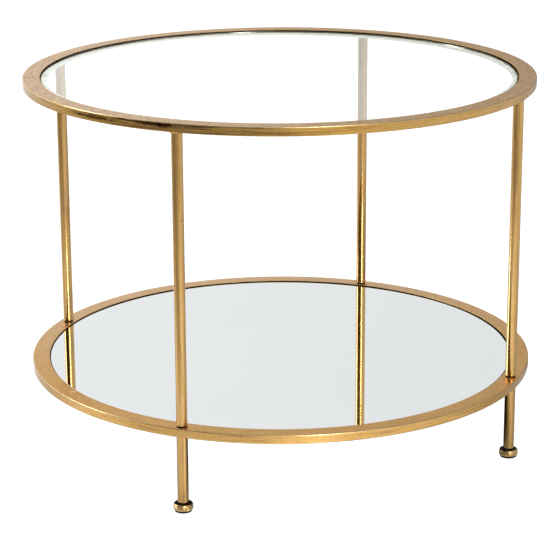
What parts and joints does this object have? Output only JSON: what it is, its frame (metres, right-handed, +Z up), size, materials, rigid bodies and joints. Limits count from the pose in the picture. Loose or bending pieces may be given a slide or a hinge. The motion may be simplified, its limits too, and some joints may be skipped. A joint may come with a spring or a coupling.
{
  "type": "tiered side table",
  "caption": "Round tiered side table: gold-leaf hoop frame with a loose clear glass top, a loose mirror shelf below and round legs on screw-adjustable levelling feet.",
  "frame": {"origin": "on the floor under the middle of the table, at the bottom centre of its box", "axes": "+Z up, the rings' common axis; the legs stand on the diagonals, -Y is the front, -X the left"},
  "size_m": [0.65, 0.65, 0.478],
  "materials": {
    "gold_leaf": "antique gold leaf over steel, satin, mottled",
    "turned_gold": "turned steel, gold finish, semi-gloss",
    "clear_glass": "clear float glass, ground and polished edge",
    "mirror_glass": "silvered glass, ground edge",
    "backing_board": "hardboard, painted dark grey",
    "clear_bumper": "clear soft bumper",
    "dark_washer": "black fibre",
    "zinc_steel": "zinc plated",
    "black_glide": "moulded black nylon"
  },
  "bodies": {
    "frame": {"top_ring": "gold_leaf", "top_ledge": "gold_leaf", "glass_pads": "clear_bumper", "upper_leg_front_left": "gold_leaf", "upper_leg_front_right": "gold_leaf", "upper_leg_back_right": "gold_leaf", "upper_leg_back_left": "gold_leaf", "leg_welds": "gold_leaf", "upper_leg_plugs": "gold_leaf", "leg_washers": "dark_washer", "joining_studs": "zinc_steel", "shelf_ring": "gold_leaf", "shelf_ledge": "gold_leaf", "lower_leg_front_left": "gold_leaf", "lower_leg_front_right": "gold_leaf", "lower_leg_back_right": "gold_leaf", "lower_leg_back_left": "gold_leaf", "lower_leg_plugs": "zinc_steel", "foot_bushes": "gold_leaf"},
    "glass_pane": {"glass_top": "clear_glass"},
    "mirror_pane": {"mirror_shelf": "mirror_glass", "mirror_backing": "backing_board"},
    "glide_front_left": {"glide_front_left": "black_glide"},
    "foot_front_left": {"foot_front_left": "turned_gold"},
    "glide_front_right": {"glide_front_right": "black_glide"},
    "foot_front_right": {"foot_front_right": "turned_gold"},
    "glide_back_right": {"glide_back_right": "black_glide"},
    "foot_back_right": {"foot_back_right": "turned_gold"},
    "glide_back_left": {"glide_back_left": "black_glide"},
    "foot_back_left": {"foot_back_left": "turned_gold"}
  },
  "joints": [
    {"name": "glass_lift", "type": "slide", "parent": "frame", "child": "glass_pane", "axis": [0, 0, 1], "range_m": [0, 0.15]},
    {"name": "mirror_lift", "type": "slide", "parent": "frame", "child": "mirror_pane", "axis": [0, 0, 1], "range_m": [0, 0.34]},
    {"name": "level_front_left", "type": "slide", "parent": "frame", "child": "glide_front_left", "axis": [0, 0, -1], "range_m": [0, 0.0061]},
    {"name": "turn_front_left", "type": "hinge", "parent": "glide_front_left", "child": "foot_front_left", "pos_m": [-0.22203, -0.22203, 0.0108], "axis": [0, 0, -1], "range_deg": [0, 2160]},
    {"name": "level_front_right", "type": "slide", "parent": "frame", "child": "glide_front_right", "axis": [0, 0, -1], "range_m": [0, 0.0061]},
    {"name": "turn_front_right", "type": "hinge", "parent": "glide_front_right", "child": "foot_front_right", "pos_m": [0.22203, -0.22203, 0.0108], "axis": [0, 0, -1], "range_deg": [0, 2160]},
    {"name": "level_back_right", "type": "slide", "parent": "frame", "child": "glide_back_right", "axis": [0, 0, -1], "range_m": [0, 0.0061]},
    {"name": "turn_back_right", "type": "hinge", "parent": "glide_back_right", "child": "foot_back_right", "pos_m": [0.22203, 0.22203, 0.0108], "axis": [0, 0, -1], "range_deg": [0, 2160]},
    {"name": "level_back_left", "type": "slide", "parent": "frame", "child": "glide_back_left", "axis": [0, 0, -1], "range_m": [0, 0.0061]},
    {"name": "turn_back_left", "type": "hinge", "parent": "glide_back_left", "child": "foot_back_left", "pos_m": [-0.22203, 0.22203, 0.0108], "axis": [0, 0, -1], "range_deg": [0, 2160]}
  ],
  "couplings": [
    {"joint": "level_front_left", "follows": "turn_front_left", "m_per_rad": 0.00015915},
    {"joint": "level_front_right", "follows": "turn_front_right", "m_per_rad": 0.00015915},
    {"joint": "level_back_right", "follows": "turn_back_right", "m_per_rad": 0.00015915},
    {"joint": "level_back_left", "follows": "turn_back_left", "m_per_rad": 0.00015915}
  ]
}
